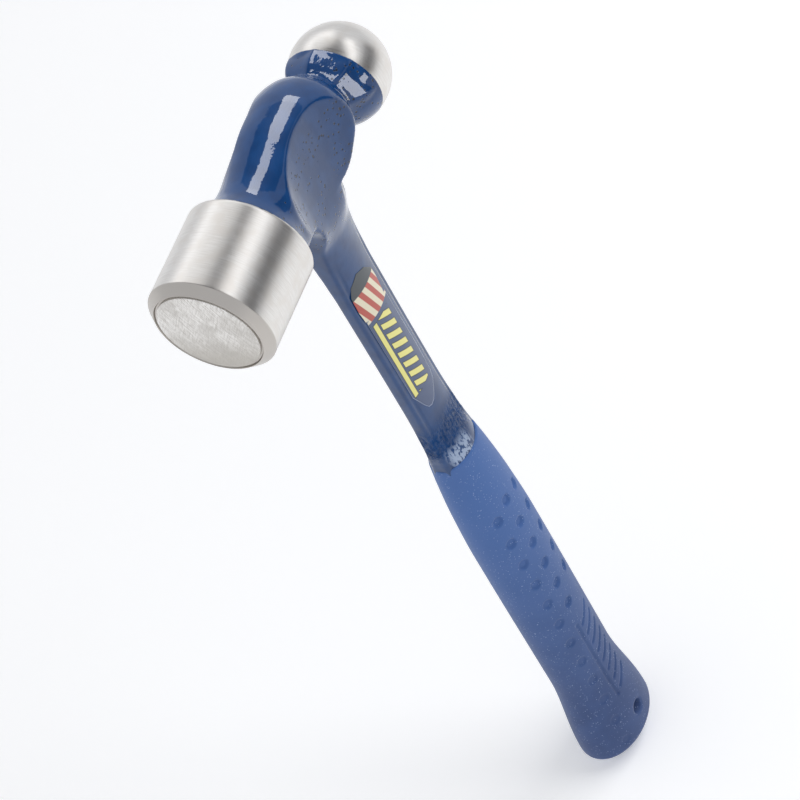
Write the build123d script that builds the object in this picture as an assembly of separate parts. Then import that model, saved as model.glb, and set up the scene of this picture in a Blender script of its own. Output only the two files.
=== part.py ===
"""One-piece forged ball peen hammer: forging, lacquer coat, moulded grip and label film.

Millimetres, +Z up the handle. The poll (flat face) points to -X and the ball to +X.
"""
import os

from build123d import *

# head, measured from the handle axis (x) and from the poll axis (z)
POLL_R = 21.0
POLL_BEVEL = 3.1
POLL_CROWN = 0.6
FACE_X = -66.5
POLL_SHOULDER_X = -30.6
SHOULDER_ROUND = 1.3
SHOULDER_STEP = 3.4
NECK_R = 14.6
BARREL_R = 18.2
BARREL_RISE = 0.8
BARREL_END_X = 29.5
CHEEK_HALF = 9.4
BALL_R = 17.1
BALL_X = 42.5
BALL_DROP = 5.0
PAINT_LINE_BACK = 4.4
PAINT_LINE_X = BALL_X - PAINT_LINE_BACK

# shank and tang
SHANK_HALF_WIDTH = 10.7
SHANK_HALF_THICK = 4.4
SHANK_EDGE_HALF = 2.0
TANG_HALF_WIDTH = 8.0
TANG_HALF_THICK = 3.0
TANG_END_GAP = 9.0

# grip
LIP_Z = -151.0
LIP_MARGIN = 0.6
GRIP_LENGTH = 194.5
BUTT_Z = LIP_Z - GRIP_LENGTH
FLARE_Z = BUTT_Z + 52.5
BUTT_WIDE_Z = BUTT_Z + 9.0
BUTT_ROUND = 1.8
GRIP_HALF_WIDTH = 16.1
GRIP_HALF_THICK = 12.3
BUTT_HALF_WIDTH = 20.5
BUTT_HALF_THICK = 14.5
HOLE_R = 3.0
HOLE_Z = BUTT_Z + 18.5
DIMPLE_R = 3.4
DIMPLE_DEPTH = 0.9
DIMPLE_PITCH = 13.4
DIMPLE_LOWEST_Z = BUTT_Z + 24.0

# thin layers
COAT = 0.2
FILM = 0.12
FILM_TOP_Z = -50.0
FILM_END_Z = LIP_Z + 28.5

FAR = 60.0


def even(rows, step):
    """Resample station rows (first entry is the position) at an even step, without overshoot."""
    n = len(rows)
    span = [rows[i + 1][0] - rows[i][0] for i in range(n - 1)]
    cols = []
    for c in range(1, len(rows[0])):
        rise = [(rows[i + 1][c] - rows[i][c]) / span[i] for i in range(n - 1)]
        tilt = [rise[0]]
        for i in range(1, n - 1):
            same = rise[i - 1] * rise[i] > 0
            tilt.append(2 * rise[i - 1] * rise[i] / (rise[i - 1] + rise[i]) if same else 0.0)
        tilt.append(rise[-1])
        cols.append(tilt)
    count = max(2, round(abs(rows[-1][0] - rows[0][0]) / step))
    out = []
    for k in range(count + 1):
        p = rows[0][0] + (rows[-1][0] - rows[0][0]) * k / count
        i = 0
        while i < n - 2 and (p - rows[i + 1][0]) * (1 if span[0] > 0 else -1) > 0:
            i += 1
        t = (p - rows[i][0]) / span[i]
        row = [p]
        for c in range(1, len(rows[0])):
            h = span[i]
            lo = rows[i][c] * (1 + 2 * t) * (1 - t) ** 2 + cols[c - 1][i] * h * t * (1 - t) ** 2
            hi = rows[i + 1][c] * t * t * (3 - 2 * t) + cols[c - 1][i + 1] * h * t * t * (t - 1)
            row.append(lo + hi)
        out.append(tuple(row))
    return out


def barrel(grow):
    """Neck behind the poll and the swelling at the handle, as one turned body."""
    r = BARREL_R
    stations = [
        (POLL_SHOULDER_X + 0.4, POLL_R - SHOULDER_STEP),
        (POLL_SHOULDER_X + 4.0, NECK_R + 0.8),
        (-20.0, NECK_R),
        (-9.0, r - 1.8),
        (0.0, r),
        (10.0, r),
        (18.5, r - 1.6),
        (24.5, r - 4.7),
        (28.0, r - 8.1),
        (BARREL_END_X, r - 11.6),
    ]
    crest = Spline(*[(x, p + grow) for x, p in stations])
    x0 = stations[0][0]
    rim = crest + Line((BARREL_END_X, stations[-1][1] + grow), (BARREL_END_X, 0))
    rim += Line((BARREL_END_X, 0), (x0, 0))
    rim += Line((x0, 0), (x0, stations[0][1] + grow))
    return Pos(0, 0, BARREL_RISE) * revolve(Plane.XZ * make_face(rim), axis=Axis.X)


def cheek_block(grow):
    """Upright block whose sides scoop the head in to flat cheeks over the handle."""
    w = CHEEK_HALF + grow
    plan = [
        (-34.0, w + 10.8),
        (-26.0, w + 7.2),
        (-22.0, w + 5.2),
        (-17.0, w + 2.7),
        (-12.0, w + 1.1),
        (-6.0, w + 0.2),
        (0.0, w),
        (6.0, w + 0.2),
        (12.0, w + 1.2),
        (17.0, w + 3.0),
        (22.0, w + 5.6),
        (32.0, w + 10.0),
    ]
    near = Spline(*[(x, -y) for x, y in plan])
    far = Spline(*[(x, y) for x, y in plan])
    ends = Line((plan[0][0], -plan[0][1]), (plan[0][0], plan[0][1]))
    ends += Line((plan[-1][0], -plan[-1][1]), (plan[-1][0], plan[-1][1]))
    return extrude(make_face(near + far + ends), amount=FAR, both=True)


def neck(grow):
    """Eight-sided neck that swells out to the underside of the ball."""
    rows = [
        (BALL_X - 20.5, -BALL_DROP + 4.2, BALL_R - 8.1),
        (BALL_X - 15.5, -BALL_DROP + 3.2, BALL_R - 7.1),
        (BALL_X - 12.5, -BALL_DROP + 2.4, BALL_R - 4.9),
        (BALL_X - 10.0, -BALL_DROP + 1.6, BALL_R - 3.2),
        (BALL_X - 7.0, -BALL_DROP + 1.0, BALL_R - 2.2),
        (PAINT_LINE_X, -BALL_DROP + 0.3, BALL_R - 1.8),
    ]
    faces = []
    for x, z, apothem in even(rows, 3.0):
        plane = Plane(origin=(x, 0, z), x_dir=(0, 1, 0), z_dir=(1, 0, 0))
        ring = RegularPolygon(apothem + grow, 8, major_radius=False)
        faces.append(plane * ring)
    return loft(faces)


def bar_section(z, a, edge, mid):
    """Shank section: flat front and back edges, gently crowned sides."""
    rim = Line((-a, edge), (-a, -edge))
    rim += ThreePointArc((-a, -edge), (0, -mid), (a, -edge))
    rim += Line((a, -edge), (a, edge))
    rim += ThreePointArc((a, edge), (0, mid), (-a, edge))
    return Plane.XY.offset(z) * make_face(rim)


def shank_rows():
    """Stations down the shank: height, half width, edge half height, half thickness."""
    a = SHANK_HALF_WIDTH
    e = SHANK_EDGE_HALF
    m = SHANK_HALF_THICK
    return [
        (-6.0, a + 7.0, e + 6.6, m + 4.7),
        (-14.0, a + 3.9, e + 6.6, m + 4.7),
        (-18.0, a + 1.9, e + 6.2, m + 4.6),
        (-22.0, a + 0.7, e + 5.2, m + 4.3),
        (-28.0, a + 0.2, e + 3.2, m + 3.2),
        (-34.0, a + 0.1, e + 1.7, m + 1.9),
        (-43.0, a, e + 0.7, m + 0.9),
        (-60.0, a, e, m + 0.2),
        (LIP_Z + 61.0, a - 0.1, e, m),
        (LIP_Z + 33.0, a, e, m),
        (LIP_Z + 15.0, a + 0.5, e + 0.1, m + 1.0),
        (LIP_Z + 6.0, a + 0.9, e + 0.5, m + 2.2),
        (LIP_Z - 4.0, a + 1.5, e + 1.1, m + 3.6),
    ]


def shank(grow):
    """Shank from inside the barrel down to the lip of the grip."""
    rows = shank_rows()
    faces = [bar_section(z, p + grow, q + grow, r + grow) for z, p, q, r in even(rows, 6.0)]
    return loft(faces)


def painted_body(grow):
    """Everything under the lacquer, enlarged by the coat thickness."""
    return (barrel(grow) & cheek_block(grow)) + neck(grow) + shank(grow)


def poll():
    """Cylindrical poll with a bevelled, slightly crowned striking face."""
    r = POLL_R
    s = SHOULDER_ROUND
    x = POLL_SHOULDER_X
    face_r = r - POLL_BEVEL
    root = (x + 1.0, r - SHOULDER_STEP - 0.6)
    crown = FACE_X - POLL_CROWN
    rim = ThreePointArc((crown, 0), (FACE_X - POLL_CROWN * 0.75, face_r / 2), (FACE_X, face_r))
    rim += Line((FACE_X, face_r), (FACE_X + POLL_BEVEL, r))
    rim += Line((FACE_X + POLL_BEVEL, r), (x - s, r))
    rim += ThreePointArc((x - s, r), (x - s * 0.293, r - s * 0.293), (x, r - s))
    rim += Line((x, r - s), root)
    rim += Line(root, (x + 1.0, 0))
    rim += Line((x + 1.0, 0), (crown, 0))
    return revolve(Plane.XZ * make_face(rim), axis=Axis.X)


def ball():
    """Ball peen, its centre a little below the poll axis."""
    return Pos(BALL_X, 0, -BALL_DROP) * Sphere(BALL_R)


def tang():
    """Narrow steel tongue hidden inside the grip."""
    wide = SHANK_HALF_WIDTH + 0.4
    edge = TANG_HALF_THICK - 1
    rows = [
        bar_section(LIP_Z + 1.0, wide, SHANK_EDGE_HALF + 0.2, SHANK_HALF_THICK + 1.0),
        bar_section(LIP_Z - 14.0, TANG_HALF_WIDTH, edge, TANG_HALF_THICK),
        bar_section(HOLE_Z + HOLE_R + TANG_END_GAP, TANG_HALF_WIDTH, edge, TANG_HALF_THICK),
    ]
    return loft(rows, ruled=True)


def forging():
    """Head, shank and tang as the single steel forging."""
    base = (Align.CENTER, Align.CENTER, Align.MIN)
    above_lip = Pos(0, 0, LIP_Z) * Box(4 * FAR, 2 * FAR, 4 * FAR, align=base)
    return (painted_body(0.0) & above_lip) + poll() + ball() + tang()


def coat(steel):
    """Lacquer over the neck, cheeks, underside of the ball and shank."""
    x0 = POLL_SHOULDER_X + 0.05
    corner = (Align.MIN, Align.CENTER, Align.MIN)
    zone = Pos(x0, 0, LIP_Z) * Box(PAINT_LINE_X - x0, 2 * FAR, FAR - LIP_Z, align=corner)
    grown = painted_body(COAT) + Pos(BALL_X, 0, -BALL_DROP) * Sphere(BALL_R + COAT)
    return (grown & zone) - steel


def grip_rows():
    """Stations down the grip: height, half width, half thickness."""
    a = GRIP_HALF_WIDTH
    b = GRIP_HALF_THICK
    rows = [
        (LIP_Z, SHANK_HALF_WIDTH + 1.3 + LIP_MARGIN, SHANK_HALF_THICK + 3.6 + LIP_MARGIN),
        (LIP_Z - 11.0, a - 2.3, b - 2.5),
        (LIP_Z - 29.0, a - 0.9, b - 1.2),
        (LIP_Z - 54.0, a - 0.1, b - 0.2),
        (LIP_Z - 94.0, a, b),
        (FLARE_Z, a, b),
    ]
    for i in range(1, 7):
        t = i / 6
        swell = t * t * (3 - 2 * t)
        rows.append((FLARE_Z + (BUTT_WIDE_Z - FLARE_Z) * t, a + (BUTT_HALF_WIDTH - a) * swell,
                     b + (BUTT_HALF_THICK - b) * swell))
    return rows


def grip_blank():
    """Outer form of the grip: an oval sleeve that swells to a domed butt."""
    sleeve = loft([Pos(0, 0, z) * Ellipse(p, q) for z, p, q in even(grip_rows(), 7.5)])
    dome = []
    for u in (0.0, 0.22, 0.42, 0.6, 0.76, 0.88, 0.96):
        share = (1 - u ** BUTT_ROUND) ** (1 / BUTT_ROUND)
        z = BUTT_WIDE_Z + (BUTT_Z - BUTT_WIDE_Z) * u / 0.96
        dome.append(Pos(0, 0, z) * Ellipse(BUTT_HALF_WIDTH * share, BUTT_HALF_THICK * share))
    return sleeve + loft(dome)


def dimples():
    """Three rows of finger dimples on each side of the grip."""
    rows = even(grip_rows(), 0.5)
    tools = []
    for share, first, count in ((-0.62, 34.0, 11), (-0.15, 30.0, 6), (0.42, 32.0, 5)):
        for i in range(count):
            z = LIP_Z - first - i * DIMPLE_PITCH
            if z < DIMPLE_LOWEST_Z:
                break
            a, b = min(rows, key=lambda row: abs(row[0] - z))[1:]
            depth = DIMPLE_DEPTH * (1 - 0.05 * i) if share < -0.5 else DIMPLE_DEPTH
            x = share * a
            y = b * (1 - share * share) ** 0.5
            size = ((x / a ** 2) ** 2 + (y / b ** 2) ** 2) ** 0.5
            out = DIMPLE_R - depth
            for side in (-1, 1):
                px = x + x / a ** 2 / size * out
                py = side * (y + y / b ** 2 / size * out)
                tools.append(Pos(px, py, z) * Sphere(DIMPLE_R))
    return tools


def grip(steel):
    """Moulded sleeve over the tang, with a through hole for hanging."""
    body = grip_blank() - steel
    hole = Pos(0, 0, HOLE_Z) * Rot(90, 0, 0) * Cylinder(HOLE_R, FAR)
    body = body - hole
    return body - dimples()


def film():
    """Clear label film on the near side of the shank."""
    inner = shank(COAT)
    outer = shank(COAT + FILM)
    top = FILM_TOP_Z
    end = FILM_END_Z
    left = SHANK_HALF_WIDTH - 2.1
    right = SHANK_HALF_WIDTH - 4.7
    outline = [(5.1 - left, top), (right - 1.5, top - 7.0), (right, top - 25.0),
               (right - 0.8, end + 8.5), (right - 5.0, end + 1.5), (4.1 - left, end),
               (0.3 - left, end + 10.5), (-left, top - 10.0)]
    prism = extrude(Plane.XZ * make_face(Polyline(*outline, close=True)), amount=FAR)
    return (outer - inner) & prism


def main():
    os.makedirs("parts", exist_ok=True)
    steel = forging()
    sleeve = grip(steel)
    parts = {"forging": steel, "lacquer_coat": coat(steel), "grip": sleeve, "label_film": film()}
    head_box = steel.bounding_box()
    seat = Pos(-head_box.center().X, 0, -sleeve.bounding_box().min.Z)
    for name, shape in parts.items():
        export_step(seat * shape, f"parts/{name}.step")


if __name__ == "__main__":
    main()
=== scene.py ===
"""One-piece forged ball peen hammer in lacquered and bare steel, with a moulded grip.

The pieces are shaped in millimetres about the head: x from the handle axis towards the ball,
y across, z from the poll axis. finish_piece() then sets them in the row frame, in metres.
"""
import math

import bmesh
import bpy
from mathutils import Matrix, Vector


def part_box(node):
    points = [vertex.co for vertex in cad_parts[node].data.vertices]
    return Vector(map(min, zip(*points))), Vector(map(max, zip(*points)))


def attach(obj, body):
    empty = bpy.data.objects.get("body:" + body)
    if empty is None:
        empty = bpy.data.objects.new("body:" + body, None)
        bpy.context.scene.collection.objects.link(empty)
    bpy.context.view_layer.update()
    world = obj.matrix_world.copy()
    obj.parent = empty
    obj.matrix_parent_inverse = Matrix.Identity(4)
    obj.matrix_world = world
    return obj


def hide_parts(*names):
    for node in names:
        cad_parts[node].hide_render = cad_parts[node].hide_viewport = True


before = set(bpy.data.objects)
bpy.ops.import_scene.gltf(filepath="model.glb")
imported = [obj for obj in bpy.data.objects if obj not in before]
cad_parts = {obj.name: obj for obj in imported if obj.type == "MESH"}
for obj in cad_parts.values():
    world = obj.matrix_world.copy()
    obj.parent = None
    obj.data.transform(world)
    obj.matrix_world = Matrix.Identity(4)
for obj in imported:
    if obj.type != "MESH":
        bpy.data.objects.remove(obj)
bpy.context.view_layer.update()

# the frame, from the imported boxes
steel_lo, steel_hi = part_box("forging")
grip_lo, grip_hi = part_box("grip")
MM = 0.001
AXIS = (grip_lo.x + grip_hi.x) / 2
POLL_R = steel_hi.y / MM
POLL_AXIS = steel_hi.z - steel_hi.y
FACE_X = (steel_lo.x - AXIS) / MM
BALL_R = 17.1
BALL_X = (steel_hi.x - AXIS) / MM - BALL_R
LIP_Z = (grip_hi.z - POLL_AXIS) / MM
BUTT_Z = (grip_lo.z - POLL_AXIS) / MM
BUTT_A = (grip_hi.x - grip_lo.x) / 2 / MM
BUTT_B = grip_hi.y / MM

# head
BALL_DROP = 5.0
PAINT_LINE = 38.1
SHOULDER_X = -30.6
SHOULDER_ROUND = 1.3
FACE_R = 17.9
DISC_R = FACE_R - 0.9
DISC_ROUND = 0.2
COAT = 0.2
CHEEK = 9.4
BARREL_R = 18.2
BARREL_RISE = 0.8
NECK_FACETS = 8
GROOVE_IN = 1.9
GROOVE_DEEP = 0.3
GROOVE_HALF = 1.1
VOXEL = 0.46
SMOOTHINGS = 6

# half thickness of the scooped cheeks at places along the head
CHEEK_PLAN = [(x, CHEEK + flare) for x, flare in (
    (-34.0, 10.8), (-26.0, 7.2), (-22.0, 5.2), (-17.0, 2.7), (-12.0, 1.1), (-6.0, 0.2),
    (0.0, 0.0), (6.0, 0.2), (12.0, 1.2), (17.0, 3.0), (22.0, 5.6), (32.0, 10.0))]

# grip
GRIP_A = 16.1
GRIP_B = 12.3
SWELL_Z = BUTT_Z + 52.5
WIDE_Z = BUTT_Z + 9.0
HOLE_Z = BUTT_Z + 18.5
HOLE_R = 3.0
DIMPLE_R = 2.35
DIMPLE_DEEP = 0.95
DIMPLE_PITCH = 13.4
MARK_HALF = 0.95
MARK_DEEP = 0.5

# patch above the lip where pale highlights are painted on the rough lacquer
PATCH_TOP = 7.0
PATCH_LEFT = -9.5
PATCH_RIGHT = 1.5

# label print: heights along the shank, and the bars and their rule across it
CAP_END = -58.2
EMBLEM_END = -71.25
BARS_TOP = -73.5
BARS_END = -113.0
BAR_PITCH = 5.2
BAR_LEAN = 0.7
BAR_LEFT, BAR_RIGHT = -4.7, 2.4
RULE_LEFT, RULE_RIGHT = -7.4, -5.7
OUTLINE = 0.2


# ---------- small helpers ----------

def smoothstep(t):
    t = min(1.0, max(0.0, t))
    return t * t * (3 - 2 * t)


def follow(rows, p):
    """Smooth values at p from station rows whose first entry is the place along the piece."""
    n = len(rows)
    sign = 1 if rows[-1][0] > rows[0][0] else -1
    i = 0
    while i < n - 2 and (p - rows[i + 1][0]) * sign > 0:
        i += 1
    span = rows[i + 1][0] - rows[i][0]
    t = min(1.0, max(0.0, (p - rows[i][0]) / span))
    out = []
    for c in range(1, len(rows[0])):
        rise = [(rows[k + 1][c] - rows[k][c]) / (rows[k + 1][0] - rows[k][0]) for k in range(n - 1)]

        def tilt(k):
            if k == 0 or k == n - 1:
                return rise[0] if k == 0 else rise[-1]
            if rise[k - 1] * rise[k] <= 0:
                return 0.0
            return 2 * rise[k - 1] * rise[k] / (rise[k - 1] + rise[k])

        out.append(rows[i][c] * (1 + 2 * t) * (1 - t) ** 2 + tilt(i) * span * t * (1 - t) ** 2
                   + rows[i + 1][c] * t * t * (3 - 2 * t) + tilt(i + 1) * span * t * t * (t - 1))
    return out


def wrap(columns, count, place):
    """A grid rolled into a tube by place(u, v), whose end rows are each a single point."""
    bm = bmesh.new()
    bmesh.ops.create_grid(bm, x_segments=columns, y_segments=count, size=1.0)
    for v in bm.verts:
        v.co = place((v.co.x + 1) / 2, (v.co.y + 1) / 2)
    bmesh.ops.remove_doubles(bm, verts=bm.verts, dist=0.002)
    bmesh.ops.dissolve_degenerate(bm, edges=bm.edges, dist=0.001)
    bmesh.ops.recalc_face_normals(bm, faces=bm.faces)
    return bm


def turned(profile, centre_z=0.0, steps=192):
    """A closed body turned about the head's long axis from (x, radius) points."""
    bm = bmesh.new()
    verts = [bm.verts.new((x, 0.0, r)) for x, r in profile]
    edges = [bm.edges.new(pair) for pair in zip(verts, verts[1:])]
    bmesh.ops.spin(bm, geom=verts + edges, cent=(0, 0, 0), axis=(1, 0, 0), angle=math.tau,
                   steps=steps, use_merge=True)
    bmesh.ops.remove_doubles(bm, verts=bm.verts, dist=0.002)
    bmesh.ops.translate(bm, verts=bm.verts, vec=(0, 0, centre_z))
    bmesh.ops.recalc_face_normals(bm, faces=bm.faces)
    return bm


def eased(points, radii, steps=5, hold=0.5):
    """A profile with each corner rounded by its radius, and a holding point past each rounding."""
    out = [points[0]]
    for a, b, c, r in zip(points, points[1:], points[2:], radii):
        a, b, c = Vector(a), Vector(b), Vector(c)
        back, ahead = (a - b).normalized(), (c - b).normalized()
        half = back.angle(ahead) / 2
        cut = min(r / math.tan(half), (a - b).length * 0.45, (c - b).length * 0.45)
        centre = b + (back + ahead).normalized() * (cut / math.cos(half))
        start, stop = b + back * cut, b + ahead * cut
        if (a - b).length > 3 * (cut + hold):
            out.append(tuple(b + back * (cut + hold)))
        for k in range(steps + 1):
            ray = (start - centre).lerp(stop - centre, k / steps).normalized()
            out.append(tuple(centre + ray * (start - centre).length))
        if (c - b).length > 3 * (cut + hold):
            out.append(tuple(b + ahead * (cut + hold)))
    out.append(points[-1])
    return out


def trim(bm, point, normal):
    """Cuts away what lies beyond a plane."""
    bmesh.ops.bisect_plane(bm, geom=bm.verts[:] + bm.edges[:] + bm.faces[:], plane_co=point,
                           plane_no=normal, clear_outer=True)


def close_rims(bm):
    bmesh.ops.holes_fill(bm, edges=[e for e in bm.edges if e.is_boundary], sides=0)


def placed(bm, name):
    """An object in the scene that holds the shape."""
    mesh = bpy.data.meshes.new(name)
    bm.to_mesh(mesh)
    bm.free()
    piece = bpy.data.objects.new(name, mesh)
    bpy.context.scene.collection.objects.link(piece)
    return piece


def finish_piece(bm, name, nodes, material):
    """Sets the shape in the row frame and hands it over as a riding piece."""
    bm.transform(Matrix.Translation((AXIS, 0, POLL_AXIS)) @ Matrix.Scale(MM, 4))
    piece = placed(bm, name)
    piece.data.shade_smooth()
    piece.data.materials.append(material)
    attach(piece, "root")
    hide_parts(*nodes)
    return piece


def solved(shapes, name, modifier, **settings):
    """Joins the shapes, runs one modifier on them and returns the result as a bmesh."""
    joined = bmesh.new()
    for shape in shapes:
        part = bpy.data.meshes.new(name)
        shape.to_mesh(part)
        shape.free()
        joined.from_mesh(part)
        bpy.data.meshes.remove(part)
    piece = placed(joined, name)
    mesh = piece.data
    step = piece.modifiers.new(name, modifier)
    for key, value in settings.items():
        setattr(step, key, value)
    done = bmesh.new()
    done.from_object(piece, bpy.context.evaluated_depsgraph_get())
    bpy.data.objects.remove(piece)
    bpy.data.meshes.remove(mesh)
    return done


# ---------- materials ----------

def tone(code):
    """sRGB hex to linear."""
    parts = [int(code[i:i + 2], 16) / 255 for i in (1, 3, 5)]
    return (*[c / 12.92 if c <= 0.04045 else ((c + 0.055) / 1.055) ** 2.4 for c in parts], 1.0)


def add(tree, kind, settings=(), inputs=()):
    """Adds a node with its settings, and sets or links its inputs."""
    made = tree.nodes.new(kind)
    for key, value in dict(settings).items():
        setattr(made, key, value)
    for key, value in dict(inputs).items():
        if isinstance(value, bpy.types.NodeSocket):
            tree.links.new(value, made.inputs[key])
        else:
            made.inputs[key].default_value = value
    return made


def begin(name):
    """A material with its shader, and the piece's own coordinates in millimetres about the head."""
    material = bpy.data.materials.new(name)
    material.use_nodes = True
    tree = material.node_tree
    place = add(tree, "ShaderNodeTexCoord").outputs["Object"]
    head = add(tree, "ShaderNodeMapping", {}, {
        "Vector": place, "Location": (-AXIS / MM, 0, -POLL_AXIS / MM), "Scale": (1 / MM,) * 3})
    return material, tree, tree.nodes["Principled BSDF"], head.outputs["Vector"]


def noise(tree, where, size, detail=2.0, rough=0.5, stretch=(1, 1, 1)):
    """Noise whose features are about this many millimetres across."""
    spot = add(tree, "ShaderNodeMapping", {}, {"Vector": where, "Scale": stretch})
    return add(tree, "ShaderNodeTexNoise", {}, {
        "Vector": spot.outputs["Vector"], "Scale": 1 / size, "Detail": detail,
        "Roughness": rough}).outputs["Fac"]


def sums(tree, operation, a, b=0.0, clamp=False):
    return add(tree, "ShaderNodeMath", {"operation": operation, "use_clamp": clamp},
               {0: a, 1: b}).outputs[0]


def between(tree, value, low, high, out_low=0.0, out_high=1.0):
    """Smooth rise from out_low to out_high as the value goes from low to high."""
    return add(tree, "ShaderNodeMapRange", {"interpolation_type": "SMOOTHSTEP"}, {
        "Value": value, "From Min": low, "From Max": high, "To Min": out_low,
        "To Max": out_high}).outputs["Result"]


def blend(tree, share, low, high):
    """Colour between two tones."""
    mixed = add(tree, "ShaderNodeMix", {"data_type": "RGBA"}, {0: share})
    for index, colour in ((6, low), (7, high)):
        if isinstance(colour, bpy.types.NodeSocket):
            tree.links.new(colour, mixed.inputs[index])
        else:
            mixed.inputs[index].default_value = tone(colour)
    return mixed.outputs[2]


def relief(tree, height, depth, under=None):
    """Surface relief this many millimetres deep."""
    inputs = {"Height": height, "Distance": depth * MM, "Strength": 1.0}
    if under is not None:
        inputs["Normal"] = under
    return add(tree, "ShaderNodeBump", {}, inputs).outputs["Normal"]


def lacquered_forging():
    """Deep blue air-drying lacquer sprayed on as-forged steel.

    The gloss coat follows orange peel about 1.5 mm across and scale pits about 0.7 mm across,
    and it breaks up where the side scoops out above the grip.
    """
    material, tree, shader, head = begin("navy_lacquer_on_forged_steel")
    axes = add(tree, "ShaderNodeSeparateXYZ", {}, {"Vector": head}).outputs
    peel = noise(tree, head, 2.0, 2.0)
    wave = noise(tree, head, 6.0, 1.0)
    # scale pits on the cheeks
    cells = add(tree, "ShaderNodeTexVoronoi", {"feature": "F1"}, {
        "Vector": head, "Scale": 1 / 1.7})
    spread = noise(tree, head, 7.0, 1.0)
    on_cheek = sums(tree, "MULTIPLY", between(tree, axes["Z"], 12, 8),
                    between(tree, axes["Z"], -34, -22))
    size = sums(tree, "MULTIPLY", between(tree, spread, 0.36, 0.56, 0.0, 0.21), on_cheek)
    pits = between(tree, sums(tree, "SUBTRACT", cells.outputs["Distance"], size), 0.06, 0.0)
    pits = sums(tree, "MULTIPLY", pits, between(tree, size, 0.02, 0.06))
    # broken coat where the sides scoop out to the lip
    low_end = sums(tree, "MULTIPLY", between(tree, axes["Z"], LIP_Z + 24, LIP_Z + 15),
                   between(tree, axes["Z"], LIP_Z + 3, LIP_Z + 9))
    crackle = noise(tree, head, 1.1, 3.0, 0.6, (1.0, 1.0, 0.55))
    normal = relief(tree, wave, 0.05)
    normal = relief(tree, peel, 0.035, normal)
    normal = relief(tree, sums(tree, "MULTIPLY", pits, -1.0), 0.16, normal)
    normal = relief(tree, sums(tree, "MULTIPLY", crackle, low_end), 0.9, normal)
    body = blend(tree, between(tree, wave, 0.35, 0.65), "#023364", "#063a6e")
    # the pits are also painted darker: painted shade in the pits, over their real relief
    body = blend(tree, pits, body, "#01162f")
    # painted highlights: pale colour on the crackle, in a patch at the foot of the scoop
    top = LIP_Z + PATCH_TOP
    across = sums(tree, "MULTIPLY",
                  between(tree, axes["X"], PATCH_LEFT - 1.5, PATCH_LEFT + 1.5),
                  between(tree, axes["X"], PATCH_RIGHT + 1.5, PATCH_RIGHT - 1.5))
    near = sums(tree, "MULTIPLY", between(tree, axes["Z"], top + 2.5, top - 2.5), across)
    crackle_glints = sums(tree, "MULTIPLY", between(tree, crackle, 0.42, 0.52), near)
    body = blend(tree, crackle_glints, body, "#8fa0bb")
    dull = sums(tree, "MULTIPLY", low_end, between(tree, crackle, 0.4, 0.6, 1.0, 0.55))
    tree.links.new(sums(tree, "SUBTRACT", 1.0, dull, True), shader.inputs["Coat Weight"])
    tree.links.new(body, shader.inputs["Base Color"])
    tree.links.new(normal, shader.inputs["Normal"])
    tree.links.new(normal, shader.inputs["Coat Normal"])
    shader.inputs["Roughness"].default_value = 0.45
    shader.inputs["Specular IOR Level"].default_value = 0.1
    shader.inputs["Coat Roughness"].default_value = 0.035
    shader.inputs["Coat IOR"].default_value = 1.5
    return material


def turned_steel():
    """Bare forged steel, turned and belt-finished round the head's axis.

    Fine rings catch soft bands of light, and the lacquer laps raggedly over the shoulder.
    """
    material, tree, shader, head = begin("turned_bare_steel")
    axes = add(tree, "ShaderNodeSeparateXYZ", {}, {"Vector": head}).outputs
    # real rings are some 0.05 mm apart: drawn at 0.25 mm so that they show
    rings = noise(tree, head, 0.25, 3.0, 0.6, (1.0, 0.035, 0.035))
    cloud = noise(tree, head, 5.0, 2.0)
    wander = noise(tree, head, 2.2, 2.0)
    lap = sums(tree, "SUBTRACT", axes["X"], sums(tree, "MULTIPLY", wander, 1.2))
    lap = between(tree, lap, SHOULDER_X - 1.25, SHOULDER_X - 1.05)
    on_poll = between(tree, axes["X"], 5.0, -5.0)
    lap = sums(tree, "MULTIPLY", lap, on_poll)
    steel = blend(tree, between(tree, rings, 0.3, 0.7), "#dad7d3", "#e9e7e4")
    steel = blend(tree, between(tree, cloud, 0.4, 0.7), steel, "#dedad5")
    # the bevel is ground on its own and looks duller
    bevel = between(tree, axes["X"], FACE_X + 4.1, FACE_X + 3.5)
    steel = blend(tree, bevel, steel, "#c3beb8")
    tree.links.new(blend(tree, lap, steel, "#0a2c52"), shader.inputs["Base Color"])
    tree.links.new(sums(tree, "SUBTRACT", 1.0, lap), shader.inputs["Metallic"])
    grain = between(tree, rings, 0.3, 0.7, 0.3, 0.37)
    tree.links.new(grain, shader.inputs["Roughness"])
    tree.links.new(relief(tree, rings, 0.0022), shader.inputs["Normal"])
    return material


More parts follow.
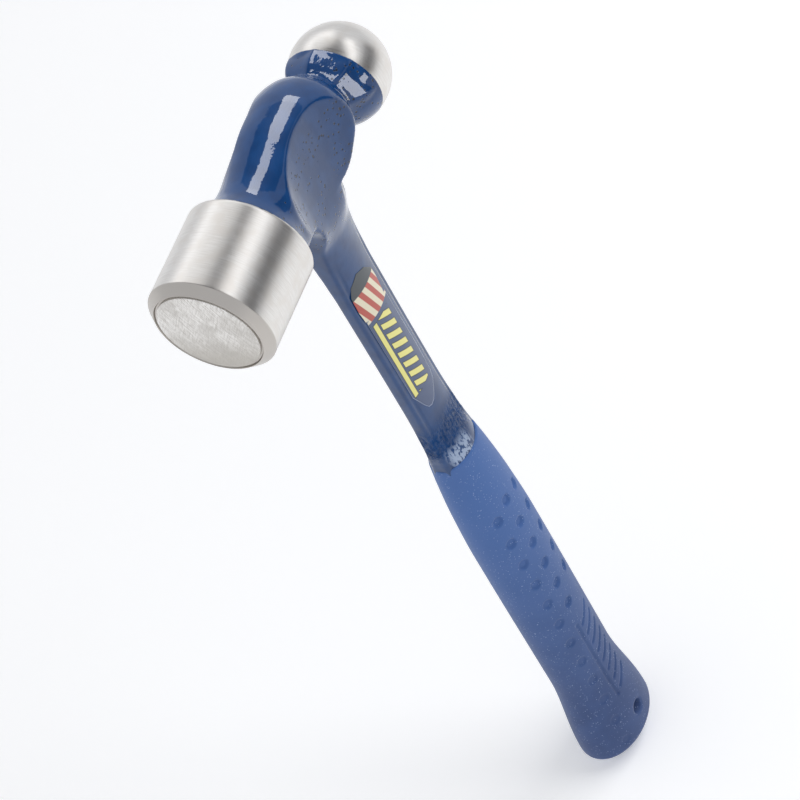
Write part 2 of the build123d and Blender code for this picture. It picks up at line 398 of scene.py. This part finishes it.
def struck_face():
    """Satin striking face, linished in crossing passes that leave short bright scratches."""
    material, tree, shader, head = begin("linished_steel_face")
    lean = add(tree, "ShaderNodeMapping", {}, {
        "Vector": head, "Rotation": (math.radians(24), 0, 0)}).outputs["Vector"]
    hair = noise(tree, lean, 0.22, 3.0, 0.6, (1.0, 1.0, 0.05))
    cross = add(tree, "ShaderNodeMapping", {}, {
        "Vector": head, "Rotation": (math.radians(-31), 0, 0)}).outputs["Vector"]
    swirl = noise(tree, cross, 0.4, 2.0, 0.6, (1.0, 1.0, 0.12))
    cloud = noise(tree, head, 7.0, 2.0)
    scratch = sums(tree, "ADD", sums(tree, "MULTIPLY", hair, 0.65),
                   sums(tree, "MULTIPLY", swirl, 0.35))
    steel = blend(tree, between(tree, scratch, 0.35, 0.62), "#c4c0ba", "#f4f2ef")
    axes = add(tree, "ShaderNodeSeparateXYZ", {}, {"Vector": head}).outputs
    # the face is painted darker towards its lower edge: painted shade on the crown
    shaded_low = between(tree, axes["Z"], 2.0, -15.0, 0.0, 0.75)
    steel = blend(tree, shaded_low, steel, "#b4afa6")
    steel = blend(tree, between(tree, cloud, 0.42, 0.66, 0.0, 0.4), steel, "#bab6b0")
    tree.links.new(steel, shader.inputs["Base Color"])
    shader.inputs["Metallic"].default_value = 1.0
    tree.links.new(between(tree, scratch, 0.3, 0.7, 0.34, 0.48), shader.inputs["Roughness"])
    tree.links.new(relief(tree, scratch, 0.012), shader.inputs["Normal"])
    return material


def moulded_vinyl():
    """Matte blue PVC-nitrile grip, injection moulded, with a fine spark-eroded texture.

    Pale specks are painted over the grain, which is about 0.3 mm across and is drawn at 0.5 mm.
    """
    material, tree, shader, head = begin("moulded_blue_vinyl")
    axes = add(tree, "ShaderNodeSeparateXYZ", {}, {"Vector": head}).outputs
    grain = noise(tree, head, 0.5, 3.0, 0.6)
    cloud = noise(tree, head, 14.0, 2.0)
    specks = add(tree, "ShaderNodeTexVoronoi", {"feature": "F1"}, {
        "Vector": head, "Scale": 1 / 0.9})
    thin = noise(tree, head, 1.8, 1.0)
    # pale specks painted on the grain
    speck = between(tree, specks.outputs["Distance"], 0.26, 0.12)
    speck = sums(tree, "MULTIPLY", speck, between(tree, thin, 0.45, 0.6, 0.0, 0.6))
    # the grip is painted lighter towards its top and darker towards the butt: painted light and
    # shade
    high = between(tree, axes["Z"], SWELL_Z - 30, LIP_Z - 10)
    vinyl = blend(tree, high, "#2c4678", "#4269a8")
    vinyl = blend(tree, between(tree, cloud, 0.35, 0.7, 0.0, 0.2), vinyl, "#4c6ba6")
    vinyl = blend(tree, speck, vinyl, "#a9bcdc")
    tree.links.new(vinyl, shader.inputs["Base Color"])
    tree.links.new(relief(tree, grain, 0.05), shader.inputs["Normal"])
    shader.inputs["Roughness"].default_value = 0.62
    shader.inputs["IOR"].default_value = 1.48
    shader.inputs["Sheen Weight"].default_value = 0.12
    shader.inputs["Sheen Roughness"].default_value = 0.45
    return material


def printed_film():
    """Glossy clear polyester label film with flat screen-printed colours.

    The print is a plain striped emblem and a row of slanted bars with a rule; the rest is clear.
    """
    material, tree, shader, head = begin("printed_polyester_film")
    axes = add(tree, "ShaderNodeSeparateXYZ", {}, {"Vector": head}).outputs
    x, z = axes["X"], axes["Z"]

    def inside(value, low, high, soft=0.12):
        return sums(tree, "MULTIPLY", between(tree, value, low - soft, low + soft),
                    between(tree, value, high + soft, high - soft))

    def repeat(value, pitch, share):
        cell = sums(tree, "FRACT", sums(tree, "DIVIDE", value, pitch))
        return inside(cell, 0.5 - share / 2, 0.5 + share / 2, 0.03)

    clear = blend(tree, noise(tree, head, 3.0, 1.0), "#4c5a7a", "#556382")
    # slanted bars and their rule
    slant = sums(tree, "ADD", z, sums(tree, "MULTIPLY", x, BAR_LEAN))
    bars = sums(tree, "MULTIPLY", repeat(slant, BAR_PITCH, 0.5),
                inside(x, BAR_LEFT, BAR_RIGHT))
    rule = inside(x, RULE_LEFT, RULE_RIGHT)
    band = sums(tree, "MULTIPLY", sums(tree, "MAXIMUM", bars, rule),
                inside(z, BARS_END, BARS_TOP))
    # a thin dark outline, printed first
    shade = sums(tree, "MULTIPLY", repeat(slant, BAR_PITCH, 0.62),
                 inside(x, BAR_LEFT - OUTLINE, BAR_RIGHT + OUTLINE))
    shade = sums(tree, "MAXIMUM", shade, inside(x, RULE_LEFT - OUTLINE, RULE_RIGHT + OUTLINE))
    shade = sums(tree, "MULTIPLY", shade, inside(z, BARS_END - 0.3, BARS_TOP + 0.3))
    body = blend(tree, shade, clear, "#222a30")
    body = blend(tree, band, body, "#eee68c")
    # emblem: plain straight stripes under a plain slate cap
    lean = sums(tree, "ADD", x, sums(tree, "MULTIPLY", z, 0.3))
    stripes = blend(tree, repeat(lean, 4.2, 0.5), "#e9e0c6", "#bd5b50")
    emblem = blend(tree, between(tree, z, CAP_END - 0.2, CAP_END + 0.2), stripes, "#4a5054")
    on_emblem = between(tree, z, EMBLEM_END - 0.15, EMBLEM_END + 0.15)
    body = blend(tree, on_emblem, body, emblem)
    tree.links.new(body, shader.inputs["Base Color"])
    tree.links.new(relief(tree, noise(tree, head, 4.0, 1.0), 0.02), shader.inputs["Normal"])
    shader.inputs["Roughness"].default_value = 0.16
    shader.inputs["IOR"].default_value = 1.5
    return material


def film_edge():
    """Cut edge of the clear polyester film, where the adhesive looks pale."""
    material, _, shader, _ = begin("cut_polyester_edge")
    shader.inputs["Base Color"].default_value = tone("#8794b0")
    shader.inputs["Roughness"].default_value = 0.3
    shader.inputs["IOR"].default_value = 1.5
    return material


# ---------- the pieces ----------

def barrel():
    """Neck behind the poll and the hump over the handle, scooped in to flat cheeks."""
    # place along the head, and radius
    r = BARREL_R
    rows = [(SHOULDER_X - 2.0, 18.6), (SHOULDER_X + 0.4, 17.6), (-26.6, 15.4), (-20.0, 14.6),
            (-9.0, r - 1.8), (0.0, r), (10.0, r), (18.5, r - 1.6), (24.5, r - 4.7),
            (28.0, r - 8.1), (29.5, r - 11.6)]
    profile = [(rows[0][0], 0.0)]
    for k in range(101):
        x = rows[0][0] + (rows[-1][0] - rows[0][0]) * k / 100
        around = [follow(rows, x + step)[0] for step in (-3, -2, -1, 0, 1, 2, 3)]
        profile.append((x, sum(around) / len(around) + (0.1 if k < 90 else 0.0)))
    profile.append((rows[-1][0], 0.0))
    bm = turned(profile, BARREL_RISE, 320)
    for v in bm.verts:
        # the underside is fuller than round, so the cheek runs down into the shank
        turn = math.atan2(v.co.z - BARREL_RISE, abs(v.co.y))
        full = 2 + 1.6 * smoothstep(-turn / 0.35) * smoothstep((20.0 - v.co.x) / 12.0)
        swell = (abs(math.cos(turn)) ** full + abs(math.sin(turn)) ** full) ** (-1 / full)
        v.co.y *= swell
        v.co.z = BARREL_RISE + (v.co.z - BARREL_RISE) * swell
        limit = cheek_plan(v.co.x)
        v.co.y = max(-limit, min(limit, v.co.y))
    return bm


def neck():
    """Faceted neck that swells out under the ball."""
    # place along the head, height of the axis, and half width across the flats
    rows = [(20.0, -0.6, 8.0), (22.0, -0.8, 9.0), (27.0, -1.8, 10.0), (30.0, -2.6, 12.2),
            (32.5, -3.4, 13.9), (35.5, -4.0, 14.9), (39.5, -4.8, 15.35)]
    start, end = rows[0][0], rows[-1][0]
    facet = math.tau / NECK_FACETS

    def place(u, v):
        x = start + (end - start) * v
        z, apothem = follow(rows, x)
        turn = math.tau * u
        flat = (turn % facet) - facet / 2
        r = 0.0 if v < 0.001 or v > 0.999 else apothem / math.cos(flat)
        return Vector((x, r * math.cos(turn), z + r * math.sin(turn)))

    return wrap(192, 40, place)


def shank_rows():
    """Stations down the shank: height, half width, and half thickness at the edge and middle."""
    a, e, m = 10.7, 2.0, 4.4
    return [(-6.0, a + 7.0, e + 6.6, m + 4.7), (-14.0, a + 3.9, e + 6.6, m + 4.7),
            (-18.0, a + 1.9, e + 6.2, m + 4.6), (-22.0, a + 0.7, e + 5.2, m + 4.3),
            (-28.0, a + 0.2, e + 3.2, m + 3.2), (-34.0, a + 0.1, e + 1.7, m + 1.9),
            (-43.0, a, e + 0.7, m + 0.9), (-60.0, a, e, m + 0.2),
            (LIP_Z + 61.0, a - 0.1, e, m), (LIP_Z + 33.0, a, e, m),
            (LIP_Z + 15.0, a + 0.5, e + 0.1, m + 0.7), (LIP_Z + 8.0, a + 0.8, e + 0.3, m + 1.6),
            (LIP_Z + 3.0, a + 1.1, e + 0.6, m + 3.3), (LIP_Z - 4.0, a + 1.5, e + 1.1, m + 3.9)]


def crowned(x, a, e, m):
    """Half thickness of the shank's crowned side at a place across it."""
    return e + (m - e) * (1 - (x / a) ** 2)


def cheek_plan(x):
    """Half thickness of the scooped cheeks at a place along the head."""
    return follow(CHEEK_PLAN, x)[0]


def shank():
    """Flat-edged shank with gently crowned sides, which leave the cheeks without an edge."""
    rows = shank_rows()
    top, low = rows[0][0], rows[-1][0]

    def place(u, v):
        z = top + (low - top) * v
        a, e, m = follow(rows, z)
        if v < 0.001 or v > 0.999:
            return Vector((0, 0, z))
        web = smoothstep((z + 32.0) / 16.0)

        def half(x):
            plain = crowned(x, a, e, m)
            if x < 0:
                side = min(cheek_plan(x), CHEEK + 1.6)
            else:
                side = CHEEK - 3.2 * smoothstep((x - a + 6.0) / 6.0)
            return plain + (side - plain) * web

        quarter, t = divmod(u * 4 - 0.0001 if u > 0.9999 else u * 4, 1.0)
        if quarter in (0, 2):
            sign = 1 if quarter == 0 else -1
            x = a * (1 - 2 * t) * sign
            return Vector((x, sign * half(x), z))
        sign = -1 if quarter == 1 else 1
        return Vector((sign * a, half(sign * a) * (1 - 2 * t) * -sign, z))

    return wrap(160, 320, place)


def painted_body(lacquer):
    """Head between poll and ball, and the shank, as one lacquered forging with soft blends."""
    bulb = bmesh.new()
    bmesh.ops.create_uvsphere(bulb, u_segments=160, v_segments=80, radius=BALL_R,
                              matrix=Matrix.Translation((BALL_X, 0, -BALL_DROP)))
    bm = solved([barrel(), neck(), shank(), bulb], "blank", "REMESH",
                mode="VOXEL", voxel_size=VOXEL)
    for _ in range(SMOOTHINGS):
        bmesh.ops.smooth_vert(bm, verts=bm.verts, factor=0.5, use_axis_x=True, use_axis_y=True,
                              use_axis_z=True)
    trim(bm, (PAINT_LINE, 0, 0), (1, 0, 0))
    trim(bm, (SHOULDER_X - 1.0, 0, 0), (-1, 0, 0))
    close_rims(bm)
    bm.normal_update()
    # the coat's thickness, less a fine groove beside each edge of the shank
    rows = shank_rows()
    for v in bm.verts:
        if PAINT_LINE - 0.01 > v.co.x > SHOULDER_X:
            fade = smoothstep((-38.0 - v.co.z) / 14.0)
            away = abs(abs(v.co.x) - follow(rows, min(v.co.z, rows[0][0]))[0] + GROOVE_IN)
            groove = GROOVE_DEEP * fade * smoothstep((GROOVE_HALF - away) / 0.9)
            v.co += v.normal * (COAT - groove)
    return finish_piece(bm, "painted_head_and_shank", ["lacquer_coat", "forging"],
                        lacquer)


def film_patch(name, outline, lift, film):
    """A piece of label film laid on the near side of the shank and trimmed to a convex outline."""
    xs = [p[0] for p in outline]
    zs = [p[1] for p in outline]
    rows = shank_rows()
    bm = bmesh.new()
    bmesh.ops.create_grid(bm, x_segments=36, y_segments=150, size=1.0)
    for v in bm.verts:
        x = min(xs) + (max(xs) - min(xs)) * (v.co.x + 1) / 2
        z = min(zs) + (max(zs) - min(zs)) * (v.co.y + 1) / 2
        v.co = Vector((x, -crowned(x, *follow(rows, z)) - COAT - lift, z))
    for (ax, az), (bx, bz) in zip(outline, outline[1:] + outline[:1]):
        trim(bm, (ax, 0, az), (az - bz, 0, bx - ax))
    bmesh.ops.recalc_face_normals(bm, faces=bm.faces)
    bm.normal_update()
    if sum(f.normal.y for f in bm.faces) > 0:
        bmesh.ops.reverse_faces(bm, faces=bm.faces)
    bmesh.ops.solidify(bm, geom=bm.faces[:], thickness=0.1)
    return finish_piece(bm, name, ["label_film"], film)


def label(film, edge):
    """Label film: a clear tongue carrying the bars, its cut edge, and the emblem over its top."""
    tongue = [(-8.6, -70.0), (5.6, -70.0), (5.9, -100.0), (5.3, -113.5), (3.9, -116.8),
              (0.2, -120.6), (-1.2, -121.8), (-3.2, -122.3), (-4.6, -121.6), (-5.8, -119.2),
              (-8.2, -112.0)]
    shield = [(-3.2, -50.6), (1.5, -52.8), (5.2, -57.5), (5.4, -62.0), (4.4, -70.4),
              (-4.0, -71.6), (-8.9, -69.3), (-9.3, -64.0), (-9.1, -56.5), (-7.6, -53.0)]
    middle = Vector((-1.4, -96.0))
    rim = [tuple(Vector(p) + (Vector(p) - middle).normalized() * 0.4) for p in tongue]
    return [film_patch("label_edge", rim, 0.06, edge),
            film_patch("label_tongue", tongue, 0.08, film),
            film_patch("label_emblem", shield, 0.11, film)]


def poll(steel):
    """Turned poll with its bevel and a recess for the striking face."""
    bevel = POLL_R - FACE_R
    outline = [(FACE_X + 1.3, 0.0), (FACE_X + 1.3, FACE_R - 0.3), (FACE_X + 0.55, FACE_R + 0.02),
               (FACE_X + 0.6 + bevel, POLL_R), (SHOULDER_X, POLL_R), (SHOULDER_X, 0.0)]
    bm = turned(eased(outline, [0.1, 0.12, 0.35, SHOULDER_ROUND]), steps=256)
    return finish_piece(bm, "poll", ["forging"], steel)


def striking_face(face):
    """Crowned disc let into the end of the poll, with a fine line round it."""
    back, side = FACE_X + 1.4, FACE_X + 0.75
    profile = [(back, 0.0), (back, DISC_R), (side, DISC_R)]
    for k in range(5):
        turn = math.pi / 2 * k / 4
        profile.append((side - DISC_ROUND * math.sin(turn),
                        DISC_R - DISC_ROUND + DISC_ROUND * math.cos(turn)))
    for k in range(1, 25):
        r = (DISC_R - 0.25) * (1 - k / 24)
        profile.append((FACE_X + 0.55 * (r / FACE_R) ** 2, r))
    bm = turned(profile, steps=192)
    return finish_piece(bm, "striking_face", ["forging"], face)


def ball(steel):
    """Ball peen: only the part beyond the lacquer shows."""
    bm = bmesh.new()
    bmesh.ops.create_uvsphere(bm, u_segments=192, v_segments=96, radius=BALL_R,
                              matrix=Matrix.Translation((BALL_X, 0, -BALL_DROP))
                              @ Matrix.Rotation(math.pi / 2, 4, "Y"))
    trim(bm, (PAINT_LINE - 3.0, 0, 0), (-1, 0, 0))
    close_rims(bm)
    return finish_piece(bm, "ball_peen", ["forging"], steel)


def grip_size(z):
    """Half width and half thickness of the grip at a height."""
    # height, half width, half thickness
    rows = [(LIP_Z - 1.2, 12.75, 8.75), (LIP_Z - 11.0, 13.8, 9.8),
            (LIP_Z - 29.0, GRIP_A - 0.9, GRIP_B - 1.2), (LIP_Z - 54.0, GRIP_A - 0.1, GRIP_B - 0.2),
            (LIP_Z - 94.0, GRIP_A, GRIP_B), (SWELL_Z, GRIP_A, GRIP_B)]
    if z >= SWELL_Z:
        return follow(rows, min(z, rows[0][0]))
    share = smoothstep((SWELL_Z - z) / (SWELL_Z - WIDE_Z))
    return [GRIP_A + (BUTT_A - GRIP_A) * share, GRIP_B + (BUTT_B - GRIP_B) * share]


def grip_marks():
    """Centre lines of the plain sunk marks: one rule and a row of slanted bars."""
    low, high = BUTT_Z + 35.0, BUTT_Z + 84.0
    lines = [((-4.6, low), (-4.6, high))]
    for k in range(8):
        z = low + 3 + k * 6.4
        lines.append(((-1.8, z - 1.6), (6.4, z + 2.4)))
    return lines


def dimple_spots():
    """Centres of the finger dimples, and how deep each is as a share of the full depth."""
    spots = []
    # place across as a share of the half width, start below the lip, number, fade per dimple
    for share, first, number, fade in ((-0.62, 34.0, 12, 0.07), (-0.15, 30.0, 6, 0.0),
                                       (0.42, 32.0, 5, 0.0)):
        for i in range(number):
            z = LIP_Z - first - DIMPLE_PITCH * i
            a, b = grip_size(z)
            spots.append((share * a, b * math.sqrt(1 - share * share), z, 1 - fade * i))
    return spots


def sunk(x, y, z, spots, marks):
    """How deep the grip's surface is sunk at a point."""
    sink = 0.0
    for px, py, pz, share in spots:
        if abs(z - pz) < 3 and abs(x - px) < 3:
            away = math.sqrt((x - px) ** 2 + (abs(y) - py) ** 2 + ((z - pz) * 0.92) ** 2)
            sink = max(sink, DIMPLE_DEEP * share * smoothstep((DIMPLE_R - away) / 0.6))
    if BUTT_Z + 25 < z < BUTT_Z + 95 and y < 0:
        for (ax, az), (bx, bz) in marks:
            long = (bx - ax) ** 2 + (bz - az) ** 2
            t = min(1.0, max(0.0, ((x - ax) * (bx - ax) + (z - az) * (bz - az)) / long))
            away = math.hypot(x - ax - (bx - ax) * t, z - az - (bz - az) * t)
            sink = max(sink, MARK_DEEP * smoothstep((MARK_HALF - away) / 0.6))
    away = math.hypot(x, z - HOLE_Z)
    return max(sink, MARK_DEEP * smoothstep(HOLE_R + 1.0 - away))


def sleeve(vinyl):
    """Moulded grip: swelling sleeve with finger dimples, sunk marks and a hanging hole."""
    ends = [(-3.0, 9.0, 5.0), (-0.35, 11.4, 7.4), (-0.02, 11.9, 7.9), (-0.05, 12.25, 8.3),
            (-0.45, 12.6, 8.6), (-1.2, 12.75, 8.75)]
    lip = [(LIP_Z + drop, a, b) for drop, a, b in ends]
    rows_lip, rows_dome, count = 10, 34, 400
    dome_power = 2 / 1.8

    def place(u, v):
        k = round(v * count)
        if k == 0 or k == count:
            return Vector((0, 0, lip[0][0] if k == 0 else BUTT_Z))
        if k <= rows_lip:
            i = (k - 1) * (len(lip) - 1) / (rows_lip - 1)
            j = min(int(i), len(lip) - 2)
            z, a, b = [p + (q - p) * (i - j) for p, q in zip(lip[j], lip[j + 1])]
        elif k <= count - rows_dome:
            z = lip[-1][0] + (WIDE_Z - lip[-1][0]) * (k - rows_lip) / (count - rows_dome - rows_lip)
            a, b = grip_size(z)
        else:
            turn = math.pi / 2 * (k - count + rows_dome) / rows_dome
            share = math.cos(turn) ** dome_power
            z = WIDE_Z + (BUTT_Z - WIDE_Z) * math.sin(turn) ** dome_power
            a, b = BUTT_A * share, BUTT_B * share
        turn = math.tau * u
        return Vector((a * math.cos(turn), b * math.sin(turn), z))

    bm = wrap(220, count, place)
    bm.normal_update()
    spots, marks = dimple_spots(), grip_marks()
    for v in bm.verts:
        v.co -= v.normal * sunk(*v.co, spots, marks)
    cutter = bmesh.new()
    bmesh.ops.create_cone(cutter, cap_ends=True, segments=64, radius1=HOLE_R, radius2=HOLE_R,
                          depth=60, matrix=Matrix.Translation((0, 0, HOLE_Z))
                          @ Matrix.Rotation(math.pi / 2, 4, "X"))
    tool = placed(cutter, "hole_cutter")
    bm = solved([bm], "sleeve_blank", "BOOLEAN", object=tool, operation="DIFFERENCE",
                solver="EXACT")
    bpy.data.objects.remove(tool)
    return finish_piece(bm, "grip_sleeve", ["grip"], vinyl)


# ---------- the studio ----------

def studio(body, steel_pieces, other_pieces):
    """Pale floor, even surrounding light, soft boxes linked to what they light, and grey cards."""
    scene = bpy.context.scene
    scene.view_settings.view_transform = "Standard"
    world = bpy.data.worlds.new("studio")
    scene.world = world
    world.use_nodes = True
    world.node_tree.nodes["Background"].inputs["Color"].default_value = tone("#f4f6fa")
    world.node_tree.nodes["Background"].inputs["Strength"].default_value = 0.78

    bm = bmesh.new()
    bmesh.ops.create_grid(bm, x_segments=2, y_segments=2, size=6.0)
    floor = placed(bm, "floor")
    # white background paper, with a little emission so that it stays bright
    paper, _, shader, _ = begin("white_paper_sweep")
    shader.inputs["Base Color"].default_value = tone("#fafafa")
    shader.inputs["Roughness"].default_value = 0.9
    shader.inputs["Emission Color"].default_value = (1.0, 1.0, 1.0, 1.0)
    shader.inputs["Emission Strength"].default_value = 0.26
    floor.data.materials.append(paper)

    centre = Vector((0.0, 0.0, 0.34))

    def group(name, pieces):
        made = bpy.data.collections.new(name)
        for piece in pieces:
            made.objects.link(piece)
        return made

    bare = group("lit_steel", steel_pieces)
    painted = group("lit_lacquer", [body])
    dressed = group("lit_rest", [floor] + other_pieces)

    def facing(ray, distance):
        ray = Vector(ray).normalized()
        return Matrix.Translation(centre + ray * distance) \
            @ ray.to_track_quat("Z", "Y").to_matrix().to_4x4()

    def softbox(name, ray, distance, wide, tall, radiance, pieces):
        light = bpy.data.lights.new(name, "AREA")
        light.shape = "RECTANGLE"
        light.size, light.size_y = wide, tall
        light.energy = radiance * math.pi * wide * tall
        lamp = bpy.data.objects.new(name, light)
        scene.collection.objects.link(lamp)
        lamp.matrix_world = facing(ray, distance)
        lamp.visible_camera = False
        lamp.light_linking.receiver_collection = pieces

    # flat grey felt on board, which keeps bands of the gloss dark
    felt, _, shader, _ = begin("grey_felt_card")
    shader.inputs["Base Color"].default_value = tone("#57575a")
    shader.inputs["Roughness"].default_value = 1.0

    def card(name, ray, distance, wide, tall):
        bm = bmesh.new()
        bmesh.ops.create_grid(bm, x_segments=2, y_segments=2, size=0.5)
        bm.transform(facing(ray, distance) @ Matrix.Diagonal((wide, tall, 1.0, 1.0)))
        piece = placed(bm, name)
        piece.data.materials.append(felt)
        piece.visible_camera = False

    softbox("key_box", (0.46, -0.5, 0.73), 1.3, 1.1, 0.5, 5.5, dressed)
    softbox("poll_box", (0.46, -0.54, 0.70), 1.3, 1.1, 0.42, 1.35, bare)
    softbox("back_box", (0.48, 0.45, 0.76), 1.1, 1.0, 0.9, 0.85, bare)
    softbox("hump_strip", (0.47, 0.08, 0.87), 1.0, 0.38, 0.8, 7.0, painted)
    softbox("crown_strip", (-0.26, -0.155, 0.951), 1.0, 0.5, 0.2, 8.0, painted)
    softbox("low_strip", (-0.2, -0.978, -0.02), 1.0, 0.5, 0.2, 8.0, painted)
    card("upper_card", (0.15, 0.0, 0.98), 1.5, 2.6, 1.9)
    card("front_card", (0.3, -0.95, 0.12), 1.7, 3.2, 0.9)


def camera():
    """Camera above the poll side, rolled so that the handle runs to the lower right."""
    lens = bpy.data.cameras.new("camera")
    lens.sensor_width = 36.0
    lens.lens = 130.53
    lens.clip_start = 0.05
    lens.clip_end = 50.0
    eye = Vector((-0.48853, -0.47826, 0.94831))
    look = Vector((0.01332, 0.02036, 0.20513)) - eye
    piece = bpy.data.objects.new("camera", lens)
    piece.matrix_world = Matrix.Translation(eye) \
        @ look.to_track_quat("-Z", "Y").to_matrix().to_4x4() \
        @ Matrix.Rotation(math.radians(-31.2256), 4, "Z")
    bpy.context.scene.collection.objects.link(piece)
    bpy.context.scene.camera = piece


lacquer = lacquered_forging()
steel = turned_steel()
face = struck_face()
vinyl = moulded_vinyl()
body = painted_body(lacquer)
film_pieces = label(printed_film(), film_edge())
steel_pieces = [poll(steel), striking_face(face), ball(steel)]
grip = sleeve(vinyl)
studio(body, steel_pieces, film_pieces + [grip])
camera()
